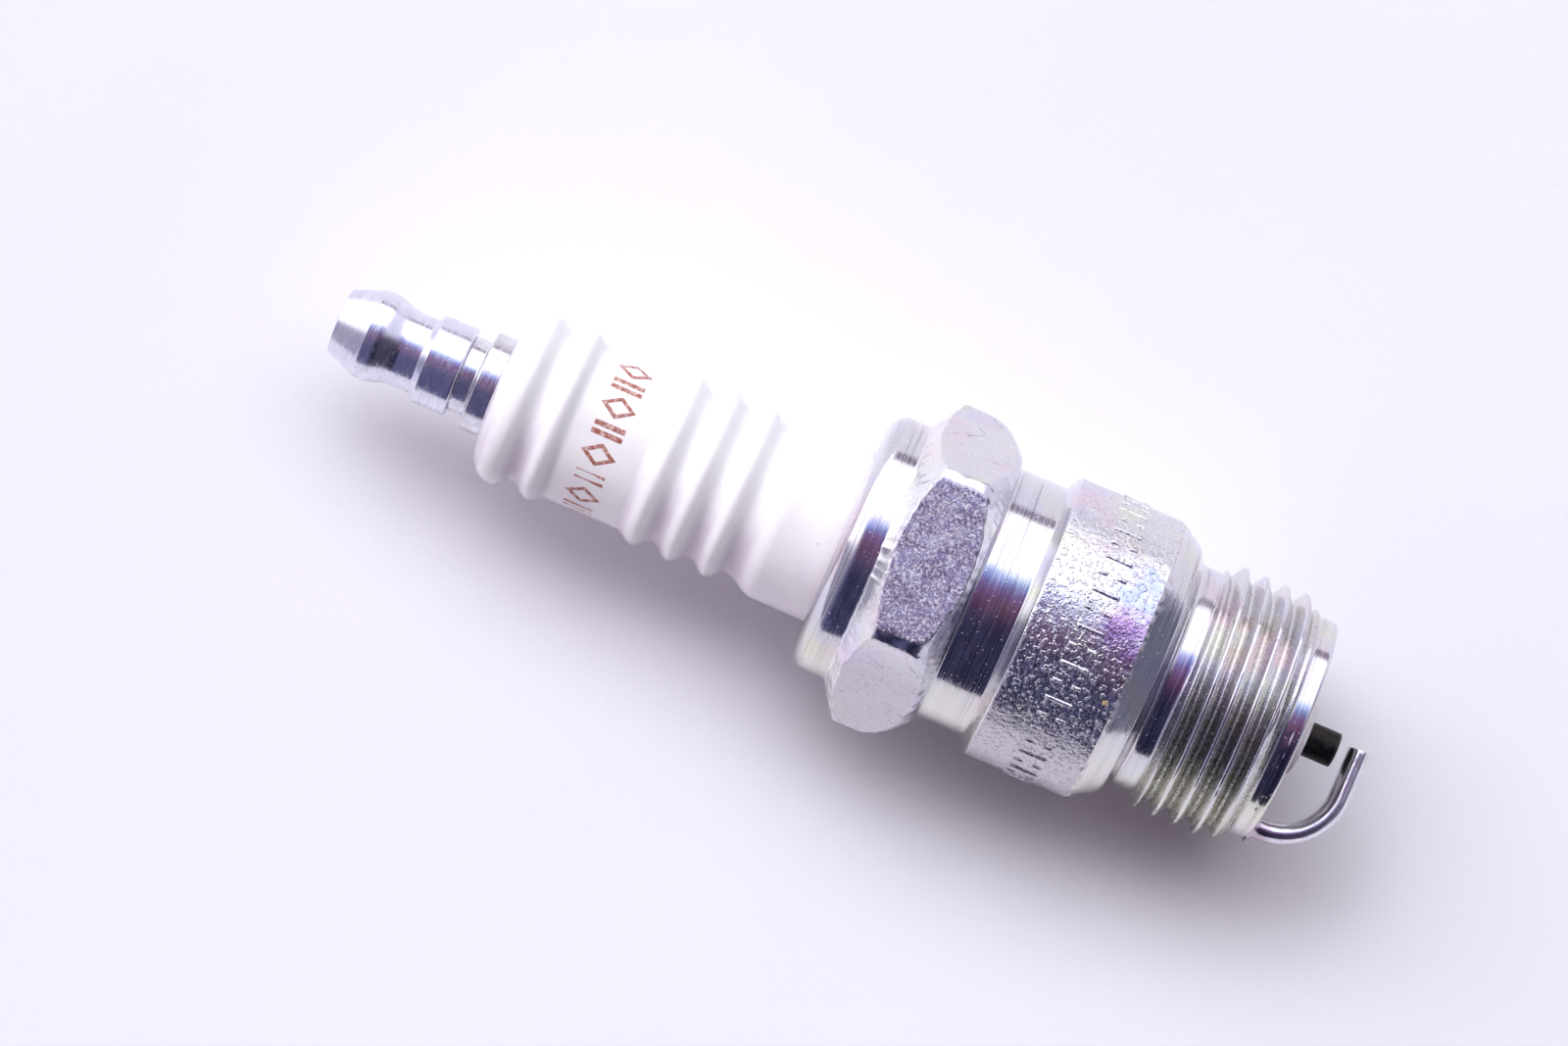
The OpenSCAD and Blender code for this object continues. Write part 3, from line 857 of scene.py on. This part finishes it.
def zinc_turned():
    """Bright zinc over turned steel, with an olive film and dark flecks in the thread that are
    partly painted shade.
    """
    m = Finish("zinc_turned", 0.75, 0.75, 0.78)
    lines = m.streaks(0.10, 1.6, 3.0, 3.0, 0.6)
    broad = m.streaks(0.45, 1.0, 2.0, 8.0)
    dark_lines = m.streaks(0.13, 0.8, 2.0, 33.0)
    speckle = m.noise(0.17, 3.0, 21.0, 0.65)
    blotch = m.noise(0.9, 3.0, 12.0, 0.6)

    on_thread = m.x.spread(X_THREAD - 0.2, X_THREAD + 0.4)
    on_thread = on_thread * m.x.spread(X_PILOT - 0.3, X_PILOT, 1.0, 0.0)
    outside = m.r.spread(R_CHAMBER, R_CHAMBER + 0.1)
    # Soiling in the thread, partly real and partly painted shade: strongest at the roots and on the
    # -Y side, weak on the lit upper side
    grime_and_shade = m.r.spread(R_ROOT + 0.15, R_CREST - 0.06, 1.0, 0.0) * on_thread * outside
    grime_and_shade = grime_and_shade * m.y.spread(-6.0, 3.0, 1.0, 0.25)
    dirt_and_shade = grime_and_shade * speckle.spread(0.43, 0.57, 0.12, 1.0)
    painted_glints = m.noise(0.17, 2.0, 63.0, 0.6).spread(0.55, 0.63) * grime_and_shade
    dust_and_sparkle = m.noise(0.20, 1.0, 71.0).spread(0.70, 0.75)
    at_barrel_edge = abs(m.x - X_BARREL_END).spread(0.1, 0.4, 1.0, 0.0)
    flakes = at_barrel_edge * m.noise(0.7, 3.0, 51.0, 0.6).spread(0.46, 0.54)

    m.paint_plating_tints(0.38)
    m.paint(broad.spread(0.40, 0.75, 0.0, 0.40), 0.50, 0.50, 0.57)
    m.paint(dark_lines.spread(0.56, 0.70, 0.0, 0.55), 0.26, 0.26, 0.33)
    # Painted reflection: a cream tint over the -Y side, for the warm sheet that this side mirrors
    m.paint(m.y.spread(-9.0, -4.0, 0.45, 0.0) * outside, 0.76, 0.76, 0.58)
    # The olive film and the dark flecks follow that mask, so they darken the thread partly as
    # painted shade
    m.paint(grime_and_shade * blotch.spread(0.42, 0.62, 0.2, 0.8), 0.50, 0.51, 0.33)
    m.paint(dirt_and_shade * 0.85, 0.10, 0.10, 0.065)
    # Painted highlight: small pale points of light on the thread flanks
    m.paint(painted_glints * 0.9, 0.90, 0.90, 0.84)
    # Pale rough flecks: partly fine powder on the zinc, partly painted sparkle
    m.paint(dust_and_sparkle, 0.90, 0.88, 0.92)
    m.paint(flakes * 0.8, 0.86, 0.78, 0.80)
    roughness = lines.spread(0.34, 0.68, 0.05, 0.24) + flakes * 0.35 + grime_and_shade * 0.14 + dust_and_sparkle * 0.45
    return m.surface(roughness, lines * 0.0035 + speckle * grime_and_shade.linear(0.050, 0.0016))


def zinc_chamfer():
    """Zinc on the hexagon's chamfers and rounded corners: a little hazy."""
    m = Finish("zinc_chamfer", 0.88, 0.88, 0.90)
    lines = m.streaks(0.12, 2.0, 2.0, 5.0)
    cloud = m.noise(0.8, 3.0, 9.0)
    m.paint_plating_tints(0.26)
    m.paint(m.x.spread(X_FLAT + 1.5, X_FLAT + 2.5, 0.0, 0.8), 0.62, 0.62, 0.70)
    return m.surface(cloud.spread(0.35, 0.7, 0.14, 0.32), lines * 0.003 + cloud * 0.010)


def zinc_peened():
    """Zinc on the hexagon's flats and the barrel: a fine hammered grain with hazy marks, and
    painted shade, sparkles and reflections.
    """
    m = Finish("zinc_peened", 0.75, 0.75, 0.78)
    grain = m.noise(0.30, 2.0, 2.0, 0.6)
    fine = m.noise(0.13, 2.0, 4.0)
    cloud = m.noise(1.6, 3.0, 7.0)
    hexagon = m.x.spread(X_WAIST - 0.2, X_WAIST, 1.0, 0.0)
    upper = m.z.spread(HALF_FLATS - 0.3, HALF_FLATS - 0.1) * hexagon

    frost = m.noise(0.22, 3.0, 17.0, 0.75).spread(0.50, 0.64)
    for x, y, size in ((1.85, 3.3, 0.75), (3.35, 2.1, 0.85), (2.2, 1.3, 0.5)):
        spot = m.near((X_FLAT + x, y, HALF_FLATS), size) * fine.spread(0.42, 0.58)
        frost = frost.maths("MAXIMUM", spot)
    frost = frost * cloud.spread(0.40, 0.62, 0.55, 1.0)
    m.paint_plating_tints(upper.linear(-0.22, 0.36))
    m.paint(frost * upper.linear(0.30, 0.25), 0.95, 0.93, 0.98)
    # Painted shade: the upper flat of the hexagon, which faces up, darker and more lilac than the
    # others
    m.paint(upper * 0.8, 0.53, 0.48, 0.59)
    # Painted highlights: fine white sparkles on the upper flat
    painted_sparkles = m.noise(0.18, 2.0, 81.0, 0.7).spread(0.53, 0.62) * upper
    m.paint(painted_sparkles * 0.95, 0.98, 0.96, 1.0)

    def on_barrel(from_end, y):
        return X_BARREL_END - from_end, y, math.sqrt(R_BARREL ** 2 - y * y)

    # Painted reflection: blue and purple clouds where the barrel mirrors the studio's blue and
    # purple band
    for y, size, tint in ((3.8, 2.6, (0.36, 0.46, 0.78)), (0.6, 2.4, (0.50, 0.27, 0.60))):
        m.paint(m.near(on_barrel(1.0, y), size) * cloud.spread(0.35, 0.60, 0.15, 0.75), *tint)
    # Painted shade: the -Y side of the hexagon and barrel darker, away from the light
    m.paint(m.y.spread(-8.5, -5.5, 0.75, 0.0), 0.54, 0.51, 0.55)
    vein = abs(m.noise(4.0, 2.0, 61.0) - 0.5).spread(0.002, 0.016, 0.6, 0.0)
    m.paint(vein * cloud.spread(0.45, 0.6) * hexagon * (1.0 - upper), 0.30, 0.28, 0.34)
    stain = m.near(on_barrel(0.67, -4.0), 0.24)
    m.paint(stain, 0.95, 0.70, 0.35)

    roughness = fine.spread(0.3, 0.7, 0.10, 0.24) + upper * 0.06 + hexagon.linear(0.01, 0.04)
    roughness = roughness + frost * hexagon.linear(0.14, 0.18) + stain * 0.4 + painted_sparkles * 0.32
    bumps = m.noise(0.32, 1.0, 91.0).spread(0.56, 0.68, 0.0, 0.042) * (1.0 - hexagon)
    height = grain * hexagon.linear(-0.042, 0.052) + bumps + fine * hexagon.linear(-0.002, 0.015)
    return m.surface(roughness, height)


def porcelain():
    """White glaze outside the shell and bare ceramic inside it."""
    m = Finish("porcelain", 0.90, 0.885, 0.915)
    cloud = m.noise(3.0, 3.0, 4.0)
    glazed = m.x.spread(X_LIP + 1.0, X_LIP + 2.0, 1.0, 0.0)
    m.paint(cloud.spread(0.4, 0.65), 0.93, 0.92, 0.93)
    m.paint(m.noise(0.35, 1.0, 14.0).spread(0.765, 0.79, 0.0, 0.35), 0.45, 0.34, 0.30)
    # Painted shade: the grooves between the ribs darkened towards the -Y side, where less light
    # reaches
    hollow = m.r.spread(R_GROOVE + 0.08, R_RIB - 0.15, 1.0, 0.0)
    from_band = abs(m.x - (INSULATOR_LOW[0] + 8.35))
    hollow = hollow * from_band.spread(2.3, 3.1) * m.y.spread(-4.3, -0.8, 0.62, 0.0)
    m.paint(hollow * glazed, 0.55, 0.49, 0.60)
    stains = m.noise(0.9, 3.0, 24.0).spread(0.42, 0.62)
    m.paint(m.x.spread(X_LIP - 0.9, X_LIP, 0.0, 0.10) * stains, 0.70, 0.35, 0.25)
    roughness = glazed.linear(-0.40, 0.55) + cloud.spread(0.3, 0.7, 0.0, 0.08)
    return m.surface(roughness, m.noise(0.9, 2.0, 41.0) * 0.010, metallic=0.0, ior=1.55)


def ink():
    """Brownish red print, thin and worn in places."""
    m = Finish("ink", 0.36, 0.115, 0.085)
    patches = m.noise(0.28, 3.0, 6.0, 0.65)
    m.paint(patches.spread(0.42, 0.66, 0.0, 0.8), 0.80, 0.58, 0.54)
    return m.surface(patches.spread(0.3, 0.7, 0.25, 0.5), patches * 0.006, metallic=0.0)


def terminal_metal():
    """Bright nickel on the terminal, turned around its axis, with scuffs on its rims."""
    m = Finish("terminal_metal", 0.74, 0.75, 0.87)
    lines = m.streaks(0.07, 2.5, 3.0, 2.0)
    broad = m.streaks(0.35, 1.5, 2.0, 6.0)
    scuffs = m.noise(0.55, 4.0, 15.0, 0.7).spread(0.56, 0.70)
    m.paint(broad.spread(0.3, 0.7), 0.83, 0.83, 0.90)
    m.paint(scuffs * 0.35, 0.55, 0.52, 0.55)
    roughness = lines.spread(0.3, 0.7, 0.16, 0.30) + scuffs * 0.12
    return m.surface(roughness, lines * 0.0022 + scuffs * -0.004)


def stud_metal():
    """Zinc on the turned stud."""
    m = Finish("stud_metal", 0.82, 0.82, 0.86)
    lines = m.streaks(0.08, 2.0, 3.0, 11.0)
    m.paint(m.noise(0.7, 3.0, 19.0).spread(0.35, 0.7), 0.66, 0.64, 0.68)
    return m.surface(lines.spread(0.3, 0.7, 0.14, 0.28), lines * 0.0025)


def nickel_wire():
    """Nickel wire with small pits, and heat tints next to the weld."""
    m = Finish("nickel_wire", 0.86, 0.85, 0.89)
    lines = m.noise(0.12, 3.0, 5.0)
    cloud = m.noise(0.9, 3.0, 13.0)
    pits = m.noise(0.22, 2.0, 27.0).spread(0.60, 0.72)
    m.paint(cloud.spread(0.3, 0.7), 0.70, 0.68, 0.74)
    m.paint(pits * 0.5, 0.22, 0.20, 0.24)
    m.paint(m.near((X_END, GROUND_LOW[1] + WIRE_THICKNESS / 2, 0), 2.2) * 0.55, 0.34, 0.20, 0.28)
    return m.surface(cloud.spread(0.3, 0.7, 0.16, 0.27), lines * 0.003 + pits * -0.006)


def electrode_dark():
    """The centre electrode, darkened and dull, with a paler rim at its tip."""
    m = Finish("electrode_dark", 0.010, 0.009, 0.009)
    lines = m.streaks(0.1, 2.0, 2.0, 3.0)
    cloud = m.noise(0.5, 3.0, 8.0)
    m.paint(cloud.spread(0.35, 0.65), 0.030, 0.025, 0.023)
    at_tip = m.x.spread(CENTRE_HIGH[0] - 0.25, CENTRE_HIGH[0] - 0.02)
    m.paint(at_tip * m.r.spread(R_ELECTRODE - 0.25, R_ELECTRODE) * 0.5, 0.14, 0.12, 0.12)
    height = lines * 0.003 + cloud * 0.006
    return m.surface(cloud.spread(0.3, 0.7, 0.36, 0.55), height, metallic=0.75)


def inner_material(name, light, dark, size, roughness, metallic, depth):
    """A plainer finish for a part inside the plug: two shades, a grain and its bump."""
    m = Finish(name, *dark)
    grain = m.noise(size, 4.0, 7.0, 0.6)
    m.paint(grain.spread(0.35, 0.65), *light)
    m.paint(m.noise(6 * size, 2.0, 3.0).spread(0.4, 0.7, 0.0, 0.3), *dark)
    return m.surface(grain.spread(0.3, 0.7, roughness, roughness + 0.15), grain * depth, metallic)


def paper():
    """The pale sheet that the plug lies on."""
    m = Finish("paper", 0.84, 0.834, 0.885)
    m.paint(m.noise(45.0, 2.0, 5.0).spread(0.35, 0.65), 0.86, 0.856, 0.905)
    m.paint(m.noise(1.1, 1.0, 9.0).spread(0.80, 0.82, 0.0, 0.08), 0.6, 0.55, 0.6)
    return m.surface(0.75, m.noise(0.35, 4.0, 2.0) * 0.02, metallic=0.0)


# ---------------------------------------------------------------- stage

SHEET_SIZE = 4.0


def build_floor():
    bpy.ops.mesh.primitive_plane_add(size=SHEET_SIZE, location=(0, 0, -HALF_FLATS * MM))
    floor = bpy.context.active_object
    floor.name = "floor"
    floor.data.materials.append(paper())


# The studio from the horizon at +Y over the top to -Y, as (degrees, colour): as metal mirrors it
STUDIO = [
    (0, (0.62, 0.57, 0.70)), (3, (0.30, 0.24, 0.34)), (9, (0.30, 0.24, 0.34)),
    (13, (1.75, 1.72, 1.80)), (52, (1.75, 1.74, 1.82)), (57, (0.85, 1.00, 1.55)),
    (62, (0.30, 0.40, 0.92)), (70, (0.24, 0.15, 0.36)), (83, (0.17, 0.08, 0.15)),
    (96, (0.060, 0.035, 0.075)), (108, (0.020, 0.020, 0.050)), (180, (0.018, 0.018, 0.045)),
]
# and as it lights matt surfaces
LIGHT = [
    (0, (0.27, 0.26, 0.28)), (42, (0.32, 0.31, 0.33)), (52, (3.3, 3.28, 3.50)),
    (66, (3.75, 3.74, 4.0)), (74, (2.95, 2.94, 3.14)), (84, (0.8, 0.78, 0.84)),
    (92, (0.06, 0.03, 0.04)), (145, (0.05, 0.025, 0.035)), (158, (0.42, 0.31, 0.43)),
    (180, (0.42, 0.31, 0.43)),
]
# A ramp holds colours up to 1, so they are stored divided by the brightest one
PEAK = 6.0

# The mirrored studio's ends at -X and +X, above and below, and the far right
LEFT_HIGH, LEFT_LOW = (1.75, 1.72, 1.82), (0.40, 0.38, 0.50)
RIGHT_HIGH, RIGHT_LOW, RIGHT_END = (0.85, 0.82, 1.0), (0.06, 0.055, 0.09), (0.17, 0.17, 0.24)
# Added to the mirrored dark side next to the insulator, and to the matt light at -X
DARK_LIFT = (0.085, 0.085, 0.18)
LEFT_FILL = (0.85, 0.77, 0.85)
# What the camera itself sees beyond the sheet
BACKDROP = (0.93, 0.90, 0.99)


def studio_colour(colour):
    return rgb(*(c / PEAK for c in colour))


def studio_arch(graph, turn, stops):
    """Colours over a half turn from +Y over the top to -Y."""
    arch = graph.node("ValToRGB", {"Fac": turn})
    elements = arch.socket.node.color_ramp.elements
    while len(elements) < len(stops):
        elements.new(0.5)
    for element, (degrees, colour) in zip(elements, stops):
        element.position = degrees / 180
        element.color = studio_colour(colour)
    return arch


def build_world():
    """A studio that depends only on direction: light from +Y, dark at -Y, and a pale end at -X.

    Matt surfaces are lit from higher up and more from -X, so that the sheet's shadow stays close.
    """
    world = bpy.data.worlds.new("studio")
    bpy.context.scene.world = world
    world.use_nodes = True
    # Sampled light would ignore which kind of ray asks for it
    world.cycles.sampling_method = "NONE"
    w = Graph(world.node_tree)
    x, y, z = w.split(w.node("TexCoord", output="Generated"))
    turn = z.maths("ARCTAN2", y) / math.pi

    later = x.spread(0.0, 0.05, 15 / 180, 9 / 180) * turn.spread(0.1, 0.3)
    mirrored = studio_arch(w, turn - later, STUDIO)
    lifted = x.spread(-0.02, 0.03, 1.0, 0.0) * turn.spread(0.5, 0.6)
    mirrored = w.blend(lifted, mirrored, studio_colour(DARK_LIFT), "ADD")
    at_left = w.blend(turn.spread(0.46, 0.62), studio_colour(LEFT_HIGH), studio_colour(LEFT_LOW))
    mirrored = w.blend(x.spread(-0.42, -0.14, 1.0, 0.0), mirrored, at_left)
    at_right = w.blend(turn.spread(0.38, 0.52), studio_colour(RIGHT_HIGH), studio_colour(RIGHT_LOW))
    at_right = w.blend(x.spread(0.70, 0.85), at_right, studio_colour(RIGHT_END))
    mirrored = w.blend(x.spread(0.22, 0.50), mirrored, at_right)

    from_left = x.linear(-1.25, 1.0).maths("MAXIMUM", 0.0) * abs(x).spread(0.3, 0.8, 1.23, 0.55)
    matt = studio_arch(w, turn, LIGHT)
    matt = w.node("VectorMath", {0: matt, "Scale": from_left}, operation="SCALE")
    matt = w.blend(x.spread(-0.90, -0.40, 1.0, 0.0), matt, studio_colour(LEFT_FILL), "ADD")

    colour = w.blend(w.node("LightPath", output="Is Diffuse Ray"), mirrored, matt)
    colour = w.blend(w.node("LightPath", output="Is Camera Ray"), colour, studio_colour(BACKDROP))
    background = w.tree.nodes["Background"]
    w.wire(colour, background.inputs["Color"])
    w.wire(PEAK, background.inputs["Strength"])


def build_camera():
    """A long lens almost straight above, rolled so that the plug runs down to the right."""
    tilt, roll = math.radians(5), math.radians(23.4)
    target = Vector((-25.5, -0.68, 0)) * MM
    distance = 346 * MM
    data = bpy.data.cameras.new("camera")
    data.lens = 117
    data.sensor_width = 36
    data.clip_start = 0.01
    camera = bpy.data.objects.new("camera", data)
    bpy.context.scene.collection.objects.link(camera)
    back = Vector((0, -math.sin(tilt), math.cos(tilt)))
    level = Vector((0, math.cos(tilt), math.sin(tilt)))
    right = math.cos(roll) * Vector((1, 0, 0)) + math.sin(roll) * level
    up = back.cross(right)
    turn = Matrix((right, up, back)).transposed().to_4x4()
    camera.matrix_world = Matrix.Translation(target + back * distance) @ turn
    bpy.context.scene.camera = camera


# ---------------------------------------------------------------- putting it together

PLUG, NUT = "plug", "terminal_nut"


def place(piece, body, slot, *materials, node=None):
    """Gives a piece its materials and lets it ride on its body; the slot argument is not used."""
    for made in materials:
        piece.data.materials.append(made)
    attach(piece, body)
    if node:
        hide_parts(node)


# Finishes of the CAD parts inside the plug, which keep their own shapes: the nodes, then the light
# and dark colour, the grain's size, the roughness, how metallic it is, and the grain's depth
INNER_FINISHES = {
    "seal_glass": (("upper_glass_seal", "lower_glass_seal"),
                   (0.16, 0.15, 0.14), (0.06, 0.05, 0.05), 0.25, 0.30, 0.1, 0.010),
    "resistor_body": (("resistor",), (0.11, 0.10, 0.10), (0.04, 0.04, 0.04), 0.3, 0.65, 0.0, 0.02),
    "copper_core": (("centre_electrode_core",),
                    (0.85, 0.47, 0.32), (0.55, 0.26, 0.17), 0.4, 0.28, 1.0, 0.006),
    "packing_steel": (("seat_washer", "upper_packing_ring", "lower_packing_ring"),
                      (0.58, 0.57, 0.57), (0.38, 0.36, 0.36), 0.2, 0.32, 1.0, 0.006),
    "talc": (("talc_packing",), (0.86, 0.84, 0.79), (0.70, 0.67, 0.62), 0.3, 0.85, 0.0, 0.05),
}


def finish_inner_parts():
    for name, (nodes, *look) in INNER_FINISHES.items():
        made = inner_material(name, *look)
        for node in nodes:
            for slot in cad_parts[node].material_slots:
                slot.material = made


def build_plug():
    peened = zinc_peened()
    place(build_shell(), PLUG, "shell_plate", zinc_turned(), zinc_chamfer(), peened, node="shell")
    place(build_barrel_marks(), PLUG, "shell_plate", peened)
    place(build_insulator(), PLUG, "insulator_glaze", porcelain(), node="insulator")
    place(build_print(), PLUG, "insulator_glaze", ink())
    place(build_nut(), NUT, "terminal_metal", terminal_metal(), node="terminal_nut")
    place(build_stud(), PLUG, "stud_metal", stud_metal(), node="terminal_stud")
    centre = build_centre_electrode()
    place(centre, PLUG, "centre_nickel", electrode_dark(), node="centre_electrode")
    place(build_ground_electrode(), PLUG, "nickel_wire", nickel_wire(), node="ground_electrode")
    finish_inner_parts()


build_plug()
build_floor()
build_world()
build_camera()
bpy.context.scene.view_settings.view_transform = "Standard"
